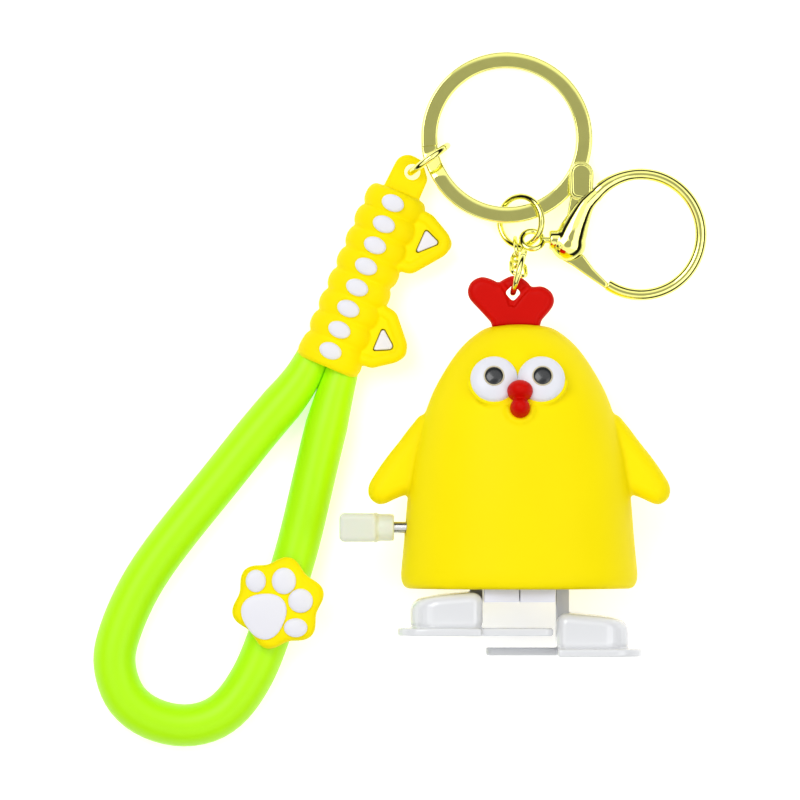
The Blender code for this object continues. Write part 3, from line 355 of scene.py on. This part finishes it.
def wrist_tube(with_pieces):
    """The soft tube, squeezed where its two ends go into the sleeve side by side."""
    route = [Vector((x, y, TUBE_HEIGHT)) + SHIFT for x, y in smooth(TUBE_ROUTE, 6)]
    for _ in range(TUBE_SMOOTHING):
        inner = [(a + 2 * b + c) / 4 for a, b, c in zip(route, route[1:], route[2:])]
        route = [route[0], *inner, route[-1]]
    curve = bpy.data.curves.new("wrist_tube", "CURVE")
    curve.dimensions = "3D"
    curve.bevel_depth = TUBE_RADIUS * MM
    curve.bevel_resolution = 12
    curve.use_fill_caps = True
    spline = curve.splines.new("POLY")
    spline.points.add(len(route) - 1)
    for index, (point, spot) in enumerate(zip(spline.points, route)):
        from_end = min(index, len(route) - 1 - index)
        point.co = (*(spot * MM), 1)
        point.radius = min(1.0, 0.74 + 0.26 * from_end / 9)
    spline.use_smooth = True
    curve.materials.append(LOOKS["lime tube"])
    obj = bpy.data.objects.new("wrist_tube", curve)
    bpy.context.scene.collection.objects.link(obj)
    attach(obj, "strap")
    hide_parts("loop_tube")


# --- chicken ------------------------------------------------------------------------------
BODY_OUTLINE = [(0.0, 46.1), (3.6, 45.8), (6.6, 44.9), (10.5, 41.5), (14.3, 35.6), (16.5, 30.2),
                (18.3, 23.2), (19.4, 16.2), (19.95, 9.6), (20.6, 2.6)]
BODY_RIM = [(20.55, 1.6), (20.3, 0.8), (19.9, 0.25), (19.3, 0.0), (0, 0.0)]
BODY_DEPTH_RATIO = 0.76
WALL_WIDTH_RATIO = 0.912
WALL_HEIGHT_RATIO = 0.96
SHAFT_AT = (-0.8, 10.64)
EYE_RADIUS = 4.12
EYE_RISE = 3.55
WING_OUTLINE = [(12.0, 30.5), (16.6, 30.4), (18.6, 28.6), (20.9, 25.6), (23.2, 22.7), (25.2, 19.8),
                (26.2, 17.9), (26.2, 16.2), (25.2, 15.0), (23.6, 14.7), (20.0, 16.2), (12.0, 18.6)]


def lip(points, wire):
    """A soft raised edge on the face."""
    return sweep([(x, y, 0) for x, y in points], round_section(wire, 16))


def eye_offset(side):
    return side * 4.1 - 0.35


def body_shell():
    """One soft skin with the wings and the lip under the eyes melted into it, open below."""
    outline = smooth(BODY_OUTLINE, 5)
    outer = lathe([(max(0.0, r), z) for r, z in [*outline, *BODY_RIM]], 128,
                  (1, BODY_DEPTH_RATIO, 1))
    wings = []
    for side in (-1, 1):
        wing = [(side * x, z) for x, z in smooth(WING_OUTLINE, 5, closed=True)]
        wings.append(moved(plate([wing[::-side]], 5.4, 2.55, fine=6), LIE_FLAT))
    to_toy = TOY.inverted() @ FACE
    lips = []
    for side in (-1, 1):
        run = arc(EYE_RADIUS + 0.08, 180, 360, 40, (eye_offset(side), EYE_RISE))
        lips.append(moved(lip(run, 0.55), to_toy @ shift(0, 0, -0.35)))
    under = arc(2.15, 165, 375, 30, (0.05, -1.9))
    lips.append(moved(lip(under, 0.6), to_toy @ shift(0, 0, -0.1)))
    skin = fuse([outer, *wings, *lips], 0.33, 2)
    inner = [(r * WALL_WIDTH_RATIO, z * WALL_HEIGHT_RATIO) for r, z in outline]
    room = lathe([(max(0.0, r), z) for r, z in inner] + [(18.3, 0.6), (18.5, -1.0), (0, -1.0)],
                 96, (1, BODY_DEPTH_RATIO, 1))
    hole = moved(lathe([(0, 4), (1.7, 4), (1.7, -4), (0, -4)], 32),
                 shift(-18.5, *SHAFT_AT) @ ALONG_X)
    slot = moved(plate([rounded([(-4.6, -1.75, 0.8), (3.2, -1.75, 0.8), (3.2, 1.75, 0.8),
                                 (-4.6, 1.75, 0.8)])], 4.3), shift(0, 0, 46.9))
    skin = carve(skin, room, hole, slot)
    piece("body", skin, "yellow vinyl", "chicken", "body_shell", at=TOY)


def face():
    """Two-lobed beak with a shelf between the lobes, eyes with a steep wall, and pupils ringed by a
    painted reflection.
    """
    upper = moved(ball((2.27, 1.85, 3.1)), shift(0.05, 1.2, 0.7))
    lower = moved(ball((1.75, 1.75, 2.7)), shift(0.05, -1.75, 0.5))
    back = moved(plate([rounded([(-4, -5, 0.5), (4, -5, 0.5), (4, 5, 0.5), (-4, 5, 0.5)])], 4),
                shift(0, 0, -2.45))
    shelf = moved(plate([rounded([(-3, -0.9, 0.2), (3, -0.9, 0.2), (3, 0.0, 0.2), (-3, 0.0, 0.2)])],
                        3.0), shift(0, -0.15, 5.0))
    mesh = carve(fuse([upper, lower], 0.13, 1), back, shelf)
    piece("beak_lobes", mesh, "red vinyl", "chicken", "beak", at=FACE)
    dome = [(EYE_RADIUS * math.sin(math.radians(a)) ** 0.7,
             0.1 + 1.8 * math.cos(math.radians(a)) ** 0.8) for a in range(0, 91, 5)]
    for side, word in ((-1, "left"), (1, "right")):
        at = FACE @ shift(eye_offset(side), EYE_RISE, -0.35)
        eye = lathe([*dome, (EYE_RADIUS, -0.75), (0, -0.75)], 96)
        piece(word + "_eye_white", eye, "eye white", "chicken", word + "_eye", at=at)
        pupil_at = at @ shift(side * 0.1 + 0.1, 0.2, 1.82)
        pupil = [(1.62 * math.sin(math.radians(a)), 0.45 * math.cos(math.radians(a)))
                 for a in range(0, 91, 6)]
        mesh = lathe([*pupil, (1.62, -0.4), (0, -0.4)], 64)
        piece(word + "_pupil_disc", mesh, "pupil black", "chicken", word + "_pupil", at=pupil_at)
        # A thin beige-gold ring round the pupil, coloured as a painted reflection.
        ring = sweep([(x, y, 0.08) for x, y in circle(1.68, 64)], round_section(0.13, 10),
                     closed=True)
        piece(word + "_pupil_painted_reflection", ring, "eye white", "chicken", at=pupil_at, look=PUPIL_REFLECTION)


def comb():
    """Three puffed lobes with a diamond hole and a soft crease running down from it."""
    outline = [(-4.0, 45.1), (-5.0, 46.4), (-7.0, 48.6), (-8.6, 50.4), (-8.95, 52.0), (-8.2, 53.5),
               (-6.6, 54.25), (-4.9, 53.9), (-3.65, 53.35), (-2.6, 53.9), (-1.2, 54.45),
               (0.4, 54.1), (1.6, 53.2), (2.2, 52.55), (4.0, 52.6), (5.5, 51.7), (6.1, 50.2),
               (5.6, 48.7), (4.0, 46.8), (2.75, 45.1)]
    base = moved(plate([smooth(outline, 5, closed=True)], 3.0, 1.42, fine=6), LIE_FLAT)
    hole = moved(plate([rounded([(-1.08, 49.9, 0.55), (0.35, 51.5, 0.55), (-1.08, 52.95, 0.55),
                                 (-2.5, 51.5, 0.55)])], 6.0), LIE_FLAT)
    creases = []
    for way in ([(-1.25, 49.2), (-2.3, 51.9), (-3.7, 53.8)],
                [(-1.25, 49.2), (0.5, 51.4), (2.2, 53.0)]):
        run = smooth([(x, -1.62, z) for x, z in way], 10)
        creases.append(sweep(run, round_section(0.6, 16), up=(0, 1, 0)))
    mesh = carve(fuse([base], 0.16, 1), hole, *creases)
    mesh = bake(mesh, ("REMESH", {"mode": "VOXEL", "voxel_size": 0.16 * MM}),
                ("SMOOTH", {"factor": 0.5, "iterations": 3}))
    piece("comb_lobes", mesh, "red vinyl", "chicken", "comb", at=TOY)


def knob():
    """Winding knob: a collar and a rounded grip with two flats."""
    collar = lathe([(0, 9.6), (2.1, 9.6), (2.3, 9.4), (2.36, 9.0), (2.36, 7.0), (2.6, 6.6),
                    (2.6, 6.2), (0, 6.2)], 64)
    grip = moved(plate([rounded([(-3.02, -2.5, 1.1), (3.02, -2.5, 1.1), (3.02, 2.5, 1.1),
                                 (-3.02, 2.5, 1.1)])], 6.6, 0.9), shift(0, 0, 3.4))
    bore = lathe([(0, 12), (1.1, 12), (1.1, 1.5), (0, 1.5)], 32)
    mesh = carve(fuse([collar, grip], 0.16, 2), bore)
    at = TOY @ shift(-31.4, *SHAFT_AT) @ ALONG_X @ Matrix.Rotation(math.pi / 2, 4, "Z")
    piece("knob", mesh, "knob cream", "winding", "winding_knob", at=at)


def foot(side, word):
    """A glossy shoe that slopes outwards, on a thin wide sole with a tongue to the inside."""
    pin = 3.4 - side * 1.8
    front, back = -14.2, 11.6
    tongue = (-12.5, -3.2) if side < 0 else (1.6, 10.6)
    sole = rounded([(side * x, y, r) for x, y, r in (
        (6.6, front, 0.5), (21.2, front, 5.0), (21.2, back, 5.0), (6.6, back, 0.5),
        (6.6, tongue[1], 0.4), (-5.8, tongue[1], 1.5), (-5.8, tongue[0], 1.5),
        (6.6, tongue[0], 0.4))])
    base = moved(plate([sole[::side]], 1.4, 0.35, fine=3), shift(0, 0, -12.6))
    upper = rounded([(side * x, y, r) for x, y, r in (
        (6.4, front + 1.2, 1.9), (19.0, front + 1.2, 4.8), (19.0, back - 1.0, 4.8),
        (6.4, back - 1.0, 1.9))])
    shoe = moved(plate([upper[::side]], 6.8, 1.8, fine=6), shift(0, 0, -9.1))
    for vertex in shoe.vertices:
        if vertex.co.z > -9.1 * MM:
            outward = (side * vertex.co.x / MM - 6.4) / 12.6
            vertex.co.z -= 1.5 * MM * max(0.0, outward) ** 2
    room = sorted((side * 5.6, side * 8.85))
    socket = moved(plate([rounded([(room[0], -5.9, 0.2), (room[1], -5.9, 0.2),
                                   (room[1], 5.9, 0.2), (room[0], 5.9, 0.2)])], 8.0),
                   shift(0, 0, -5.9))
    mesh = carve(fuse([base, shoe], 0.2, 2), socket)
    at = TOY @ shift(0, -0.8, pin)
    piece(word + "_shoe", mesh, "foot white", word + "_leg", word + "_foot", at=at)


# --- rings, chain and clasp ---------------------------------------------------------------
def wire_ring(name, at, radius, wire, turn):
    """A jump ring with the fine gap where its ends meet."""
    run = [(x, y, 0) for x, y in arc(radius, 41, 399, 110)]
    piece(name + "_wire", sweep(run, round_section(wire, 20)), "pale gold", name, name,
          at=place(at, turn))


def key_ring():
    radius, turns, steps = 13.6, 1.92, 400
    path = []
    for step in range(steps + 1):
        degrees = 360 * turns * step / steps
        layer = max(-1.0, min(1.0, (degrees - 180 * turns) / 11.0))
        angle = math.radians(215 + degrees)
        path.append((radius * math.cos(angle), radius * math.sin(angle),
                     0.615 * math.sin(layer * math.pi / 2)))
    section = rounded([(-1.4, -0.575, 0.3), (1.4, -0.575, 0.3), (1.4, 0.575, 0.3),
                       (-1.4, 0.575, 0.3)], steps=4)
    tilt = Matrix.Rotation(math.radians(6), 4, Vector((-1, 1, 0)).normalized())
    piece("split_ring", sweep(path, section), "pale gold", "key_ring", "key_ring",
          at=place((1.2, 37.5, 2.77)) @ tilt)


def chain():
    top, bottom = Vector((3.22, 13.94, 11.6)), Vector((2.9, 18.64, 3.26))
    along = (bottom - top).normalized()
    length, breadth = 4.86, 2.7
    first = top + along * (length / 2 - 1.25)
    last = bottom - along * (length / 2 - 1.42)
    flatwise = along.cross(Vector((0.266, 0.964, 0.03))).normalized()
    upright = along.cross(flatwise)
    straight = (length - breadth) / 2
    oval = (arc(breadth / 2, -90, 90, 25, (straight, 0))
            + arc(breadth / 2, 90, 270, 25, (-straight, 0)))
    for index, roll in enumerate((1, 116, 63)):
        turn = math.radians(roll)
        side = flatwise * math.cos(turn) + upright * math.sin(turn)
        run = [along * x + side * y for x, y in oval]
        name = f"chain_link_{index + 1}"
        mesh = sweep(run, round_section(0.38, 16), up=along.cross(side), closed=True)
        centre = first.lerp(last, index / 2)
        piece(name + "_wire", mesh, "pale gold", name, name, at=place(centre))


def clasp():
    """Swivel eye, the teardrop body that tapers into the round hook, and the gate."""
    eye = sweep([(x, y, 0) for x, y in circle(1.85, 72)], round_section(0.52, 18), closed=True)
    eye.transform(Matrix.Rotation(math.radians(-33.2), 4, "X"))
    stem = moved(lathe([(0, 4.3), (0.55, 4.3), (0.55, 1.7), (0, 1.7)], 32), ALONG_X)
    head = moved(lathe([(0, 4.65), (1.0, 4.6), (1.0, 4.15), (0, 4.15)], 32), ALONG_X)
    piece("swivel_eye", fuse([eye, stem, head], 0.09, 2), "pale gold", "clasp_eye", "clasp_eye",
          at=CLASP)
    neck = moved(lathe([(0, 9.0), (1.2, 9.0), (1.7, 5.6), (1.55, 5.0), (1.75, 4.7), (1.75, 3.3),
                        (1.55, 2.95), (0, 2.95)], 64), ALONG_X)
    hook = arc(10.55, 137, -124, 160, (19.12, 1.02))
    taper = smooth([(6.5, -0.7, 2.7), (7.1, 1.2, 2.65), (8.1, 3.6, 2.2), (9.5, 6.2, 1.65),
                    (*hook[0], 1.3)], 10)[:-1]
    thin = [max(1.03, 1.3 - 0.27 * i / 22) for i in range(len(hook))]
    run = [(x, y, 0) for x, y, _ in taper] + [(x, y, 0) for x, y in hook]
    bow = sweep(run, round_section(1.0, 32, 0.84), swell=[size for *_, size in taper] + thin)
    bulb = moved(ball((3.1, 3.0, 2.35)), shift(6.4, -0.75, 0))
    skin = fuse([neck, bulb, bow], 0.16, 6)
    slot = rounded([(5.0, -7.7, 0.3), (12.2, -7.7, 0.3), (12.2, 3.3, 0.3), (11.3, 9.9, 0.3),
                    (5.3, 9.9, 0.3)], steps=3)
    skin = carve(skin, plate([slot], 1.3))
    piece("hook_body", skin, "pale gold", "clasp_body", "clasp_body", at=CLASP)
    lever = rounded([(-0.95, -2.3, 0.6), (3.8, -5.0, 1.0), (6.7, -7.3, 0.3), (6.1, -6.0, 0.3),
                     (1.8, -1.6, 0.8), (1.8, 3.0, 2.0), (4.1, 7.4, 1.0), (4.3, 14.6, 1.9),
                     (0.5, 14.6, 1.7), (0.5, 8.6, 1.0), (-0.95, 0.8, 0.8)], steps=6)
    blade = plate([lever, circle(0.55, 24)[::-1]], 0.9, 0.2, fine=3)
    bar = rounded([(-0.6, -2.3, 0.5), (3.2, -5.0, 1.5), (6.9, -7.5, 0.3), (7.1, -6.3, 0.3),
                   (4.7, -3.9, 2.0), (2.7, -1.2, 0.5)], steps=4)
    tab = rounded([(0.6, 8.8, 1.2), (4.1, 8.2, 1.0), (4.4, 14.7, 2.0), (0.5, 14.7, 1.8)])
    rim = sweep([(x, y, 0.35) for x, y in tab], round_section(0.3, 12), closed=True)
    mesh = fuse([blade, plate([bar], 1.0, 0.3, fine=3), rim], 0.11, 2)
    piece("gate_blade", mesh, "pale gold", "gate", "gate_lever", at=GATE)


# --- strap --------------------------------------------------------------------------------
SLEEVE_FLATNESS = 0.78
LOBES = 8
LOBE_PITCH = 4.0
FIRST_LOBE = 0.9
SLEEVE_HALF_WIDTH = 5.7
EARS = (
    ("upper", [(2.5, 31.9, 1.2), (2.5, 20.1, 1.2), (7.0, 20.6, 1.2), (12.9, 28.3, 1.7),
               (6.6, 31.6, 1.2)], [(6.5, 24.0, 0.4), (10.2, 27.7, 0.6), (6.6, 29.2, 0.5)]),
    ("lower", [(2.5, 14.3, 1.2), (2.5, 2.6, 1.2), (7.2, 3.0, 1.2), (12.9, 7.2, 1.8),
               (7.2, 13.6, 1.2)], [(6.3, 5.6, 0.4), (10.2, 7.5, 0.8), (6.3, 10.6, 0.5)]),
)


def sleeve():
    """Puffed rolls melted into one sleeve, with the ring tab, two ears and a row of dots."""
    rolls = []
    for lobe in range(LOBES):
        middle = FIRST_LOBE + (lobe + 0.5) * LOBE_PITCH
        half = SLEEVE_HALF_WIDTH * (0.96 if lobe == LOBES - 1 else 1.0)
        profile = []
        for step in range(25):
            angle = math.pi * step / 24
            swell = math.sin(angle) ** 0.6
            profile.append((half * (0.60 + 0.40 * swell), middle + 2.3 * math.cos(angle)))
        profile = [(0, profile[0][1]), *profile, (0, profile[-1][1])]
        rolls.append(lathe(profile, 96, (1, SLEEVE_FLATNESS, 1)))
    rolls.append(lathe([(0, 3.6), (5.75, 3.0), (5.85, 1.6), (5.6, 0.5), (5.1, 0.0), (0, 0.0)], 96,
                       (1, SLEEVE_FLATNESS, 1)))
    tab = rounded([(-3.2, 30.5, 0.9), (3.6, 30.5, 0.9), (3.7, 37.1, 1.5), (1.5, 39.8, 1.6),
                   (-2.6, 40.2, 2.4)])
    parts = [*rolls, moved(plate([tab], 1.8, 0.85), shift(0, 1.05, 0) @ LIE_FLAT)]
    pockets = []
    for word, outline, inlay in EARS:
        parts.append(moved(plate([rounded(outline)], 3.4, 1.15), LIE_FLAT))
        middle = sum((Vector(c[:2]) for c in outline), Vector((0, 0))) / len(outline)
        rim = [(*(middle + (Vector(c[:2]) - middle) * 0.80), c[2]) for c in outline]
        parts.append(moved(sweep([(x, y, 0.95) for x, y in rounded(rim)],
                                 round_section(1.2, 20), closed=True), LIE_FLAT))
        pockets.append(moved(plate([rounded(inlay)], 3.0), shift(0, -1.6, 0) @ LIE_FLAT))
        centre = sum((Vector(c[:2]) for c in inlay), Vector((0, 0))) / len(inlay)
        inner = [(*(centre + (Vector(c[:2]) - centre) * 0.88), c[2] * 0.8) for c in inlay]
        piece(word + "_ear_panel", plate([rounded(inner)], 1.5, 0.3), "white pvc", "strap",
              word + "_ear_inlay", at=STRAP @ shift(0, -1.0, 0) @ LIE_FLAT)
    skin = fuse(parts, 0.2, 1)
    hole = moved(lathe([(0, 5), (1.4, 5), (1.4, -5), (0, -5)], 48), shift(0.65, 0, 37.3) @ LIE_FLAT)
    skin = carve(skin, hole, *pockets)
    piece("sleeve", skin, "yellow vinyl", "strap", "grip_sleeve", at=STRAP)
    for lobe in range(LOBES):
        z = FIRST_LOBE + (lobe + 0.5) * LOBE_PITCH
        dot = lathe([(0, 0.75), (0.72, 0.72), (0.93, 0.55), (1.0, 0.3), (1.0, -0.6), (0, -0.6)],
                    48, (2.0, 1.45, 1.0))
        surface = SLEEVE_HALF_WIDTH * SLEEVE_FLATNESS
        piece(f"sleeve_dot_{lobe + 1}", dot, "white pvc", "strap",
              at=STRAP @ shift(-0.35, -surface + 0.15, z) @ LIE_FLAT)


def paw():
    """A puffed slider with a clip round the tube, and five domed pads."""
    outline = []
    for index in range(120):
        angle = 2 * math.pi * index / 120
        reach = 7.6 + 0.62 * math.cos(6 * (angle - math.radians(135)))
        outline.append((reach * math.cos(angle), reach * math.sin(angle)))
    bottom, thickness = 8.05, 2.4
    slab = moved(plate([outline], thickness, 1.1), shift(0, 0, bottom + thickness / 2))
    lean = math.radians(-18.6)
    along = shift(0, 0, TUBE_HEIGHT) @ Euler((-math.pi / 2, 0, lean)).to_matrix().to_4x4()
    clip = moved(lathe([(0, 4), (5.15, 4), (5.15, -4), (0, -4)], 72), along)
    room = moved(lathe([(0, 10), (4.15, 10), (4.15, -10), (0, -10)], 72), along)
    mouth = moved(plate([rounded([(-7, -7, 0.5), (7, -7, 0.5), (7, 7, 0.5), (-7, 7, 0.5)])], 3.0),
                  Matrix.Rotation(lean, 4, "Z"))
    skin = carve(fuse([slab, clip], 0.2, 2), room, mouth)
    shown = [piece("paw_plate", skin, "yellow vinyl", "paw", "paw_slider", at=PAW)]
    pads = (("paw_pad", -2.4, -2.1, 3.9, 4.0, 35), ("paw_toe_1", -3.85, 3.85, 1.75, 1.95, 15),
            ("paw_toe_2", 1.05, 3.85, 2.1, 2.3, -15), ("paw_toe_3", 3.95, 0.4, 2.15, 2.1, -45),
            ("paw_toe_4", 3.1, -4.3, 2.05, 1.65, -10))
    for name, x, y, half_x, half_y, turn in pads:
        dome = [(math.sin(math.radians(a)), 0.15 + 0.65 * math.cos(math.radians(a)))
                for a in range(0, 91, 6)]
        mesh = lathe([*dome, (1.0, -0.3), (0, -0.3)], 72, (half_x, half_y, 1.0))
        if name == "paw_pad":
            for vertex in mesh.vertices:
                angle = math.atan2(vertex.co.y, vertex.co.x)
                vertex.co.xy *= 1 + 0.07 * math.cos(3 * (angle - math.radians(35)))
        at = PAW @ shift(x, y, bottom + thickness + 0.12)
        shown.append(piece(name + "_dome", mesh, "white pvc", "paw", name, at=at))
    return shown


# --- CAD pieces that stay, floor and light ------------------------------------------------
def carried_over():
    """Gives each CAD node its finish, and softens the edges of the moulded ones."""
    slots = {row["node"]: row["material_slot"] for row in frame["record"]["subparts"]}
    for name, obj in frame["nodes"].items():
        for holder in obj.material_slots:
            holder.material = LOOKS[slots[name]]
    for name in ("left_leg", "right_leg", "base_cover"):
        bevel = frame["nodes"][name].modifiers.new("soft edges", "BEVEL")
        bevel.width = 0.15 * MM
        bevel.segments = 2
        bevel.limit_method = "ANGLE"
        bevel.angle_limit = math.radians(60)


def studio():
    """White floor, a wide soft light, and a sky with a few dark bands for the metal."""
    mesh = bpy.data.meshes.new("floor")
    shape = bmesh.new()
    bmesh.ops.create_grid(shape, size=1.5)
    shape.to_mesh(mesh)
    shape.free()
    floor = bpy.data.objects.new("floor", mesh)
    bpy.context.scene.collection.objects.link(floor)
    white = bpy.data.materials.new("floor_white")
    white.use_nodes = True
    shader = white.node_tree.nodes["Principled BSDF"]
    shader.inputs["Base Color"].default_value = (0.95, 0.95, 0.95, 1)
    shader.inputs["Roughness"].default_value = 0.9
    shader.inputs["Specular IOR Level"].default_value = 0.1
    shader.inputs["Emission Color"].default_value = (1, 1, 1, 1)
    shader.inputs["Emission Strength"].default_value = 0.45
    mesh.materials.append(white)
    world = bpy.data.worlds.new("studio")
    bpy.context.scene.world = world
    world.use_nodes = True
    nodes, links = world.node_tree.nodes, world.node_tree.links
    back = nodes["Background"]
    back.inputs["Strength"].default_value = 0.6
    spot = nodes.new("ShaderNodeTexCoord")
    patches = nodes.new("ShaderNodeTexNoise")
    patches.inputs["Scale"].default_value = 1.3
    patches.inputs["Detail"].default_value = 1.0
    split = nodes.new("ShaderNodeSeparateXYZ")
    sway = nodes.new("ShaderNodeMath")
    sway.operation = "MULTIPLY_ADD"
    sway.inputs[1].default_value = 0.12
    ramp = nodes.new("ShaderNodeValToRGB")
    links.new(spot.outputs["Generated"], split.inputs["Vector"])
    links.new(spot.outputs["Generated"], patches.inputs["Vector"])
    links.new(patches.outputs["Fac"], sway.inputs[0])
    links.new(split.outputs["Z"], sway.inputs[2])
    links.new(sway.outputs["Value"], ramp.inputs["Fac"])
    links.new(ramp.outputs["Color"], back.inputs["Color"])
    bands = ((0.0, 0.8), (0.22, 1.1), (0.28, 0.02), (0.62, 0.02), (0.68, 1.9), (0.985, 1.9))
    ramp.color_ramp.elements[0].position = bands[0][0]
    ramp.color_ramp.elements[0].color = (bands[0][1],) * 3 + (1,)
    ramp.color_ramp.elements[1].position = 1.0
    ramp.color_ramp.elements[1].color = (0.72, 0.72, 0.72, 1)
    for position, level in bands[1:]:
        element = ramp.color_ramp.elements.new(position)
        element.color = (level,) * 3 + (1,)
    for name, at, power, size in (("key", (-0.35, 0.35, 0.8), 2.7, 0.5),
                                  ("fill", (0.5, -0.1, 0.7), 1.1, 0.6)):
        data = bpy.data.lights.new(name, "AREA")
        data.energy = power
        data.size = size
        lamp = bpy.data.objects.new(name, data)
        bpy.context.scene.collection.objects.link(lamp)
        lamp.location = at
        lamp.rotation_euler = (-Vector(at)).to_track_quat("-Z", "Y").to_euler()


bpy.context.scene.view_settings.view_transform = "Standard"
camera()
wrist_tube(paw())
body_shell()
face()
comb()
knob()
foot(-1, "left")
foot(1, "right")
wire_ring("comb_ring", (3.19, 13.84, 15.3), 3.7, 0.55, (math.pi / 2, 0, math.radians(74.6)))
wire_ring("link_ring", (3.66, 22.9, 3.7), 4.35, 0.55, (0, math.radians(-33), 0))
wire_ring("strap_ring", (-12.35, 33.75, 4.65), 4.0, 0.6, (math.pi / 2, 0, math.radians(36.2)))
key_ring()
chain()
clasp()
sleeve()
carried_over()
studio()
